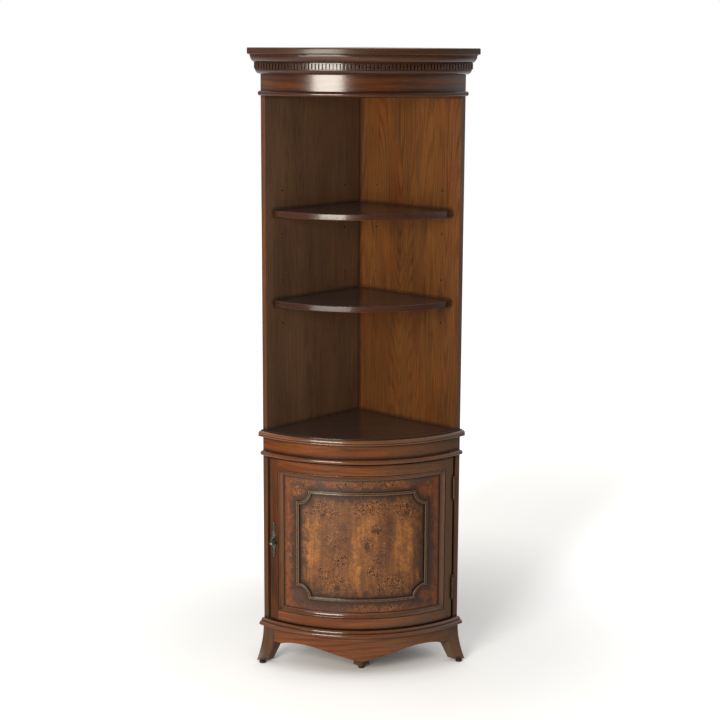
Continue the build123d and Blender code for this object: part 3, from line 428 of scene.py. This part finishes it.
# The door's frame: cherry stiles with upright grain and bent rails with level grain, glued together at
# the corners. The stain is darker on the stiles, and a greyish painted shade and sheen lies over the
# frame towards the hinges.
stile_tones = (0.134, 0.041, 0.010), (0.042, 0.013, 0.005)
stile_wood = cherry("cherry_stiles", "post", stile_tones, seed=13.0, figure=0.7, glaze_and_shade=0.85, contrast=1.3,
                    lacquer=0.18, shine=0.12, right_shade_sheen=0.9, rub_highlight=0.35)
for name in ("hinge_stile", "handle_stile"):
    dress(name, stile_wood)
dress("door_top_rail", rail_wood)
low_rail_tones = (0.300, 0.098, 0.030), (0.110, 0.034, 0.012)
low_rail_wood = cherry("cherry_bottom_rail", "bent", low_rail_tones, seed=27.0, figure=0.8, glaze_and_shade=0.85,
                       rings=110.0, contrast=1.2, haze=0.4, lacquer=0.3, shine=0.15, right_shade_sheen=0.8)
dress("door_bottom_rail", low_rail_wood)

# The door's mouldings: four lengths stuck round the panel and mitred at the corners, and a second,
# eared moulding planted on the panel. Both hold dark glaze deepened with painted shade in their quirks,
# and are rubbed on top, where they carry a painted highlight.
stuck_tones = (0.170, 0.060, 0.020), (0.070, 0.023, 0.008)
stuck_lengths = (("sticking_left", "post", 14.0, 0.6), ("sticking_right", "post", 14.0, 0.6),
                 ("sticking_top", "bent", 15.0, 1.0), ("sticking_bottom", "bent", 15.0, 1.0))
for name, run, seed, lacquer in stuck_lengths:
    stuck_wood = cherry("cherry_" + name, run, stuck_tones, seed, figure=0.4, glaze_and_shade=1.0, lacquer=lacquer,
                        shine=0.12, right_shade_sheen=0.6, rub_highlight=0.7, nook=0.022)
    dress(name, stuck_wood, edge=0.0004)
eared_tones = (0.125, 0.064, 0.033), (0.070, 0.034, 0.018)
eared_wood = cherry("cherry_frame", "post", eared_tones, seed=19.0, figure=0.1, glaze_and_shade=0.95, contrast=0.4,
                    ember=0.1, haze=0.2, lacquer=1.0, shine=0.12, polish=0.14, rub_highlight=0.9, nook=0.008)
dress("frame_moulding", eared_wood, edge=0.0003)

# The door's panel: burl veneer on a curved board that the stuck moulding holds, golden inside the
# planted moulding and redder outside it, with clusters of small dark eyes, rippled streaks, and a dark
# glaze left along both mouldings, deepened with painted shade in the narrow band beside the stuck
# moulding and in the corners. Its back has plain cherry veneer.
eared_low, eared_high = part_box("frame_moulding")
eared_side = eared_high.x
eared_middle = (eared_low.z + eared_high.z) / 2
eared_top = (eared_high.z - eared_low.z) / 2
ear_radius, ear_side_inset, ear_top_inset = 0.0357, 0.0023, 0.0048
ear_across, ear_up = eared_side - ear_side_inset, eared_top - ear_top_inset
outline_blend = 0.004
rim_side = -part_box("sticking_left")[1].x
rim_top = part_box("sticking_top")[0].z - eared_middle


def up_the_panel(tree, height):
    """How far a height lies above or below the panel's middle."""
    return maths(tree, "ABSOLUTE", maths(tree, "SUBTRACT", height, eared_middle))


def distance_inside(tree):
    """How far a point lies inside the planted moulding's eared outline; below 0 outside it."""
    x, y, z = axes(tree, place(tree))
    across = maths(tree, "ABSOLUTE", x)
    up = up_the_panel(tree, z)
    from_side = maths(tree, "SUBTRACT", eared_side, across)
    from_top = maths(tree, "SUBTRACT", eared_top, up)
    from_ear = put(tree, "ShaderNodeCombineXYZ", i0=maths(tree, "SUBTRACT", across, ear_across),
                   i1=maths(tree, "SUBTRACT", up, ear_up)).outputs[0]
    from_hollow = maths(tree, "SUBTRACT", length(tree, from_ear), ear_radius)
    from_edge = maths(tree, "MINIMUM", from_side, from_top)
    return maths(tree, "SMOOTH_MIN", from_edge, from_hollow, outline_blend)


def distance_to_rim(tree):
    """How far a point of the panel lies inside the moulding stuck round it."""
    x, y, z = axes(tree, place(tree))
    from_side = maths(tree, "SUBTRACT", rim_side, maths(tree, "ABSOLUTE", x))
    from_top = maths(tree, "SUBTRACT", rim_top, up_the_panel(tree, z))
    return maths(tree, "MINIMUM", from_side, from_top)


def eyes(tree, leaf, packing, smallest, spread):
    """Round burl eyes: the distance past each eye's rim, in cells, with eyes of mixed sizes."""
    cell = vector_maths(tree, "MULTIPLY", leaf, (packing, 0.0, packing))
    cells = put(tree, "ShaderNodeTexVoronoi", {"feature": "F1"}, Vector=cell, Scale=1.0)
    chance = put(tree, "ShaderNodeSeparateColor", Color=cells.outputs["Color"]).outputs[0]
    rim = maths(tree, "MULTIPLY_ADD", chance, spread, smallest)
    return maths(tree, "SUBTRACT", cells.outputs["Distance"], rim)


def clouds(tree, leaf, ovals, soft=1.5):
    """Where a point lies in any of some soft ovals, each given by its middle and its half sizes."""
    nearest = None
    for across, up, wide, high in ovals:
        from_middle = vector_maths(tree, "SUBTRACT", leaf, (across, 0.0, up))
        reach = length(tree, vector_maths(tree, "MULTIPLY", from_middle, (1 / wide, 0.0, 1 / high)))
        nearest = maths(tree, "MINIMUM", nearest, reach) if nearest else reach
    return remap(tree, nearest, soft, soft * 0.35)


def lay(tree, colour, *layers):
    """Lay more colours over one, each given as where it lies, how strongly, and the colour itself."""
    for where, strength, layer in layers:
        colour = mix(tree, times(tree, where, strength), colour, layer)
    return colour


# Where the veneer's eyes gather, where its plain golden stripes and its rippled stripes run, where it
# has dark knots, and where the border keeps more glaze: each oval's place across and up, and half sizes.
eye_clusters = [
    (-0.132, 0.116, 0.041, 0.024), (0.021, 0.131, 0.048, 0.026), (0.145, 0.120, 0.038, 0.026),
    (0.052, 0.061, 0.014, 0.014), (0.022, 0.012, 0.018, 0.022), (-0.067, -0.051, 0.024, 0.020),
    (-0.075, -0.125, 0.034, 0.022), (-0.125, -0.089, 0.018, 0.016), (0.097, -0.127, 0.038, 0.028),
    (0.030, -0.080, 0.020, 0.016), (-0.213, 0.187, 0.026, 0.020), (-0.063, 0.204, 0.026, 0.014),
    (0.050, 0.205, 0.060, 0.015), (-0.230, -0.055, 0.012, 0.045), (-0.226, 0.120, 0.010, 0.035),
    (0.047, -0.194, 0.070, 0.011), (0.222, 0.086, 0.011, 0.022)]
golden_stripes = [
    (-0.163, 0.010, 0.030, 0.100), (-0.022, -0.055, 0.020, 0.080), (0.022, 0.020, 0.034, 0.110),
    (0.135, 0.005, 0.026, 0.105), (-0.095, 0.045, 0.020, 0.035)]
rippled_stripes = [
    (-0.055, 0.150, 0.024, 0.018), (-0.090, 0.030, 0.042, 0.060), (0.050, -0.040, 0.030, 0.050),
    (0.085, 0.040, 0.020, 0.060)]
knots = [
    (0.020, 0.010, 0.006, 0.012), (0.050, 0.059, 0.013, 0.006), (-0.075, -0.127, 0.007, 0.010),
    (0.150, 0.112, 0.008, 0.006), (-0.120, 0.108, 0.008, 0.006)]
hazed_border = [
    (0.225, -0.020, 0.024, 0.150), (-0.120, -0.195, 0.110, 0.018), (0.180, 0.205, 0.060, 0.014),
    (-0.210, -0.170, 0.026, 0.040), (-0.130, 0.195, 0.020, 0.014), (0.160, -0.195, 0.060, 0.016)]

# The veneer's marks, across, through and up the panel, with the same terms as the cherry's.
stripe_marks = (75.0, 1.0, 3.5), 0.34, 0.66, 3.0, 0.6
thread_marks = (420.0, 1.0, 14.0), 0.32, 0.68, 3.0, 0.6
cloud_marks = (60.0, 1.0, 45.0), 0.36, 0.66, 4.0, 0.65
mottle_marks = (240.0, 1.0, 230.0), 0.36, 0.64, 3.0, 0.7
fleck_marks = (120.0, 1.0, 100.0), 0.34, 0.66, 4.0, 0.7
ripple_drift, ripple_bend, ripple_turn = (16.0, 1.0, 22.0), 60.0, 620.0

# How finely and how far the veneer's figure is curled, and its eyes shaken, out of line; then each size
# of eye, with its cells to a metre, its smallest radius in cells, and how much larger one may be.
curl_waves, curl_reach, flow_share = 24.0, (0.034, 0.0, 0.040), (0.25, 0.0, 0.3)
shake_waves, shake_reach = 90.0, (0.012, 0.0, 0.012)
large_eyes, small_eyes = (125.0, 0.16, 0.26), (230.0, 0.19, 0.24)

# How far the glaze reaches inside and outside the planted moulding, how much the clouds fray it, and
# where the dark band of glaze and painted shade lies beside the moulding round the panel.
smoke_inside, smoke_outside, fray_inside, fray_outside = 0.040, -0.022, -0.020, 0.010
rim_start, rim_full = 0.009, 0.001

# The veneer's colours, from its gold to the darkest glaze and painted shade.
gold, halo_gold, ember_red = (0.580, 0.230, 0.060), (0.440, 0.170, 0.050), (0.350, 0.092, 0.019)
brown, eyed_brown, cloud_brown = (0.150, 0.055, 0.017), (0.116, 0.044, 0.020), (0.105, 0.044, 0.022)
fleck_brown, ripple_brown, haze_brown = (0.098, 0.040, 0.021), (0.085, 0.040, 0.026), (0.074, 0.043, 0.034)
smoke_brown, umber, knot_dark = (0.048, 0.023, 0.015), (0.044, 0.019, 0.012), (0.034, 0.015, 0.010)
rim_glaze_shade, pip_dark = (0.030, 0.014, 0.010), (0.016, 0.007, 0.004)


def golden_middle(tree, leaf, curled, flow, cloud, threads):
    """The veneer inside the planted moulding: golden stripes, clouds, threads and ripples."""
    stripes = marks(tree, flow, *stripe_marks)
    golden = clouds(tree, curled, golden_stripes)
    gilding = maths(tree, "MULTIPLY_ADD", stripes, 0.42, times(tree, golden, 0.55))
    colour = mix(tree, maths(tree, "SUBTRACT", gilding, 0.02, clamp=True), brown, gold)
    drift = noise(tree, leaf, ripple_drift, 2.0)
    rise = times(tree, axes(tree, curled)[2], ripple_turn)
    waves = maths(tree, "SINE", maths(tree, "MULTIPLY_ADD", drift, ripple_bend, rise))
    rippled = clouds(tree, curled, rippled_stripes)
    ripples = times(tree, remap(tree, waves, 0.0, 1.0), rippled)
    return lay(tree, colour, (cloud, 0.55, cloud_brown), (threads, 0.35, brown),
               (rippled, 0.30, ripple_brown), (ripples, 0.60, umber))


def red_border(tree, curled, cloud, threads):
    """The veneer outside the planted moulding: redder, flecked, and hazed with glaze in places."""
    flecks = marks(tree, curled, *fleck_marks)
    dulling = maths(tree, "MULTIPLY_ADD", flecks, 0.55, times(tree, cloud, 0.35))
    colour = mix(tree, dulling, ember_red, fleck_brown)
    hazed = clouds(tree, curled, hazed_border)
    return lay(tree, colour, (threads, 0.30, umber), (hazed, 0.85, haze_brown))


def with_eyes(tree, colour, leaf, curled):
    """The clusters of eyes, each with a golden halo and a dark pip, and the dark knots."""
    shake = put(tree, "ShaderNodeTexNoise", Vector=leaf, Scale=shake_waves, Detail=2.0).outputs["Color"]
    shaken = vector_maths(tree, "ADD", leaf, vector_maths(tree, "MULTIPLY", shake, shake_reach))
    eyed = clouds(tree, curled, eye_clusters, 2.1)
    large, small = eyes(tree, shaken, *large_eyes), eyes(tree, shaken, *small_eyes)
    halos = times(tree, remap(tree, large, 0.40, 0.10), eyed)
    large_pips = times(tree, remap(tree, large, 0.12, -0.05), eyed)
    small_pips = times(tree, remap(tree, small, 0.12, -0.05), eyed)
    knotted = clouds(tree, shaken, knots, 1.8)
    return lay(tree, colour, (eyed, 0.68, eyed_brown), (halos, 0.60, halo_gold),
               (large_pips, 0.95, pip_dark), (small_pips, 0.85, pip_dark), (knotted, 0.75, knot_dark))


def with_smoke(tree, colour, inside, cloud):
    """The glaze left by the planted moulding, and glaze with painted shade along the one round the panel.
    """
    near_inside = remap(tree, maths(tree, "MULTIPLY_ADD", cloud, fray_inside, inside), smoke_inside, 0.0)
    near_outside = remap(tree, maths(tree, "MULTIPLY_ADD", cloud, fray_outside, inside), smoke_outside, 0.0)
    beside = times(tree, near_inside, near_outside)
    beside_rim_shade = remap(tree, distance_to_rim(tree), rim_start, rim_full)
    return lay(tree, colour, (beside, 0.88, smoke_brown), (beside_rim_shade, 0.85, rim_glaze_shade))


def burl(name):
    """Burl veneer, drawn across and up the panel from its middle."""
    material, tree, shader = new_material(name, specular=0.25)
    leaf = vector_maths(tree, "SUBTRACT", grain_space(tree, "post"), (0.0, 0.0, eared_middle))
    curl = put(tree, "ShaderNodeTexNoise", Vector=leaf, Scale=curl_waves, Detail=3.0).outputs["Color"]
    curl = vector_maths(tree, "SUBTRACT", curl, (0.5, 0.5, 0.5))
    curl = vector_maths(tree, "MULTIPLY", curl, curl_reach)
    curled = vector_maths(tree, "ADD", leaf, curl)
    flow = vector_maths(tree, "ADD", leaf, vector_maths(tree, "MULTIPLY", curl, flow_share))
    threads = marks(tree, flow, *thread_marks)
    cloud = marks(tree, curled, *cloud_marks)
    mottle = marks(tree, curled, *mottle_marks)
    inside = distance_inside(tree)
    middle = golden_middle(tree, leaf, curled, flow, cloud, threads)
    border = red_border(tree, curled, cloud, threads)
    colour = mix(tree, remap(tree, inside, 0.0, outline_blend), border, middle)
    colour = lay(tree, colour, (mottle, 0.42, umber))
    colour = with_eyes(tree, colour, leaf, curled)
    colour = with_smoke(tree, colour, inside, cloud)
    # Glaze in the veneer's corners, deepened with painted shade.
    tree.links.new(glaze_and_painted_shade(tree, colour, 0.95, 0.014), shader.inputs["Base Color"])
    shader.inputs["Roughness"].default_value = 0.28
    shader.inputs["Coat Weight"].default_value = 0.30
    shader.inputs["Coat Roughness"].default_value = 0.10
    relief(tree, shader, cloud, 0.05, 0.0004)
    return material


panel_back = cherry("cherry_panel_back", "post", case_tones, seed=28.0, figure=0.6, glaze_and_shade=0.5, rough=0.34,
                    ember=0.25, haze=0.2, lacquer=0.15)
dress("door_panel", burl("burl_veneer"), second=panel_back, picks=lambda normal: normal.y > 0)

# The hinges: aged bronze butt hinges with ball finials, let into the stile and the post and fixed with
# countersunk screws.
bronze = worked_metal("aged_bronze", (0.17, 0.105, 0.065), 0.38)
for part in ("case_leaves", "door_leaves", "pins", "case_screws", "door_screws"):
    dress("hinge_" + part, bronze, edge=0.0002)

# The handle: a pierced cast plate with a turned post and a hanging drop, in dark antique pewter, held
# by a nut inside the door. The catch, a brown plastic case with a magnet, is screwed to the left post
# and meets a steel plate on the door.
pewter = worked_metal("antique_pewter", (0.26, 0.25, 0.21), 0.33)
for name in ("handle_backplate", "handle_post", "handle_pin", "handle_drop"):
    dress(name, pewter, edge=0.0003)
for name in ("handle_nut", "strike_plate", "catch_screws"):
    dress(name, zinc, edge=0.0002)
dress("catch_body", moulded_plastic("catch_plastic", (0.07, 0.035, 0.02)), edge=0.0005)

# The studio's floor: a sheet of white paper that runs into the white background. It is brightened only
# where it is seen, not where it lights, and the brightening is held back near the feet and along the
# cabinet's long shadow: a painted contact shadow and a painted long shadow.
paper_reach = 14.0
paper_colour = (0.80, 0.79, 0.77, 1.0)
near_feet, far_off, near_lift, far_lift = 0.35, 1.6, 0.50, 0.95
shelter_reach = 0.30
mirror_start, mirror_end = -0.6, 1.5

# The painted long shadow: which way it falls, as shares to the side and back, how far to the left of
# the cabinet's middle its own lies, where along and across it starts and ends, and what lift and warm
# tint it leaves.
shadow_side, shadow_back, shadow_shift = 0.46, 0.89, 0.10
shadow_start, shadow_full, shadow_fading, shadow_end = -0.2, 0.45, 1.2, 4.2
shadow_core, shadow_edge = 0.18, 0.62
shadow_lift, shadow_tint = 0.80, (1.0, 0.975, 0.93)
white = (1.0, 1.0, 1.0)
paper_mesh = bpy.data.meshes.new("paper")
paper_corners = [(-paper_reach, -paper_reach, 0), (paper_reach, -paper_reach, 0),
                 (paper_reach, paper_reach, 0), (-paper_reach, paper_reach, 0)]
paper_mesh.from_pydata(paper_corners, [], [(0, 1, 2, 3)])
paper = bpy.data.objects.new("paper", paper_mesh)
bpy.context.scene.collection.objects.link(paper)


def white_paper(name):
    """Paper with a lift of its own light, for the camera and for what the lacquer mirrors behind it."""
    material, tree, shader = new_material(name)
    shader.inputs["Base Color"].default_value = paper_colour
    shader.inputs["Roughness"].default_value = 0.9
    point = place(tree)
    side, back, height = axes(tree, point)
    rays = put(tree, "ShaderNodeLightPath").outputs
    mirrored = maths(tree, "MAXIMUM", rays["Is Glossy Ray"], rays["Is Transmission Ray"])
    mirrored = times(tree, mirrored, remap(tree, back, mirror_start, mirror_end))
    seen = maths(tree, "MAXIMUM", rays["Is Camera Ray"], mirrored)
    shelter = put(tree, "ShaderNodeAmbientOcclusion", {"samples": 8}, Distance=shelter_reach).outputs["AO"]
    # Painted contact shadow: less lift near the feet and where the cabinet shelters the paper.
    lift = times(tree, seen, remap(tree, length(tree, point), near_feet, far_off, near_lift, far_lift))
    lift = times(tree, lift, remap(tree, shelter, 0.28, 0.88, 0.05, 1.0))
    # The painted long shadow: a strip behind and to the right where the lift is held back and tinted warm.
    along = maths(tree, "MULTIPLY_ADD", side, shadow_side, times(tree, back, shadow_back))
    across = maths(tree, "MULTIPLY_ADD", side, shadow_back, times(tree, back, -shadow_side))
    across = maths(tree, "ABSOLUTE", maths(tree, "ADD", across, shadow_shift))
    shadow = times(tree, remap(tree, along, shadow_start, shadow_full),
                   remap(tree, along, shadow_end, shadow_fading))
    shadow = times(tree, shadow, remap(tree, across, shadow_edge, shadow_core))
    lift = times(tree, lift, remap(tree, shadow, 0.0, 1.0, 1.0, shadow_lift))
    tree.links.new(mix(tree, shadow, white, shadow_tint), shader.inputs["Emission Color"])
    tree.links.new(lift, shader.inputs["Emission Strength"])
    return material


paper_mesh.materials.append(white_paper("paper_white"))

# The studio's air: weak, slightly blue daylight all round, which the camera sees as plain white and
# the lacquer mirrors as a room that is bright at the back and dark towards the photographer.
world = bpy.data.worlds.new("studio")
bpy.context.scene.world = world
world.use_nodes = True
air = world.node_tree
daylight = air.nodes["Background"]
daylight.inputs["Color"].default_value = (0.94, 0.97, 1.0, 1.0)
daylight.inputs["Strength"].default_value = 0.20
room_side, room_back = axes(air, put(air, "ShaderNodeTexCoord").outputs["Generated"])[:2]
dark_front, bright_back = 0.04, 1.0
behind = maths(air, "MULTIPLY_ADD", room_side, 0.10, room_back)
room_glow = remap(air, behind, -0.9, 0.6, dark_front, bright_back)
mirrored_room = put(air, "ShaderNodeBackground", Color=white, Strength=room_glow).outputs[0]
backdrop = put(air, "ShaderNodeBackground", Color=white, Strength=1.0).outputs[0]
rays = put(air, "ShaderNodeLightPath").outputs
lit_or_mirrored = put(air, "ShaderNodeMixShader", i0=rays["Is Glossy Ray"], i1=daylight.outputs[0],
                      i2=mirrored_room).outputs[0]
sky = put(air, "ShaderNodeMixShader", i0=rays["Is Camera Ray"], i1=lit_or_mirrored, i2=backdrop).outputs[0]
air.links.new(sky, air.nodes["World Output"].inputs["Surface"])

# The lamps: a square softbox at the photographer's left, as high as the shelves, and a low, wide one
# under it for the door and the feet, both a little warm.
lamp_tint = (1.0, 0.945, 0.84)


def softbox(name, stand, aim, width, height, power):
    """An area light at a stand, turned towards an aim; sizes in metres and power in watts."""
    light = bpy.data.lights.new(name, "AREA")
    light.shape = "RECTANGLE"
    light.size, light.size_y, light.energy, light.color = width, height, power, lamp_tint
    lamp = bpy.data.objects.new(name, light)
    lamp.location = stand
    lamp.rotation_euler = (Vector(aim) - Vector(stand)).to_track_quat("-Z", "Y").to_euler()
    bpy.context.scene.collection.objects.link(lamp)


softbox("key", stand=(-1.55, -2.85, 1.72), aim=(0, 0, 1.4), width=1.45, height=1.45, power=102.0)
softbox("key_foot", stand=(-1.62, -2.80, 0.66), aim=(0, 0, 0.8), width=2.3, height=0.46, power=16.0)

# The camera stands where the photographer did, level with the cabinet's top and well back, with a
# long lens. Its turn, tilt and roll, in radians, come from the cabinet's edges, and its stand is
# measured from the foot of the room's corner.
camera_turn, camera_tilt, camera_roll = 0.03016, 0.19647, 0.00454
camera_stand = Vector((-0.157, -5.3, 1.98155))
camera_data = bpy.data.cameras.new("camera")
camera_data.sensor_width = 36.0
camera_data.lens = 81.273
camera = bpy.data.objects.new("camera", camera_data)
bpy.context.scene.collection.objects.link(camera)
ahead = Vector((math.sin(camera_turn) * math.cos(camera_tilt),
                math.cos(camera_turn) * math.cos(camera_tilt), -math.sin(camera_tilt)))
right = Vector((math.cos(camera_turn), -math.sin(camera_turn), 0))
above = right.cross(ahead)
rolled_right = right * math.cos(camera_roll) + above * math.sin(camera_roll)
rolled_above = above * math.cos(camera_roll) - right * math.sin(camera_roll)
view = Matrix((rolled_right, rolled_above, -ahead)).transposed().to_4x4()
view.translation = corner_line + camera_stand
camera.matrix_world = view
bpy.context.scene.camera = camera
bpy.context.scene.view_settings.view_transform = "Standard"
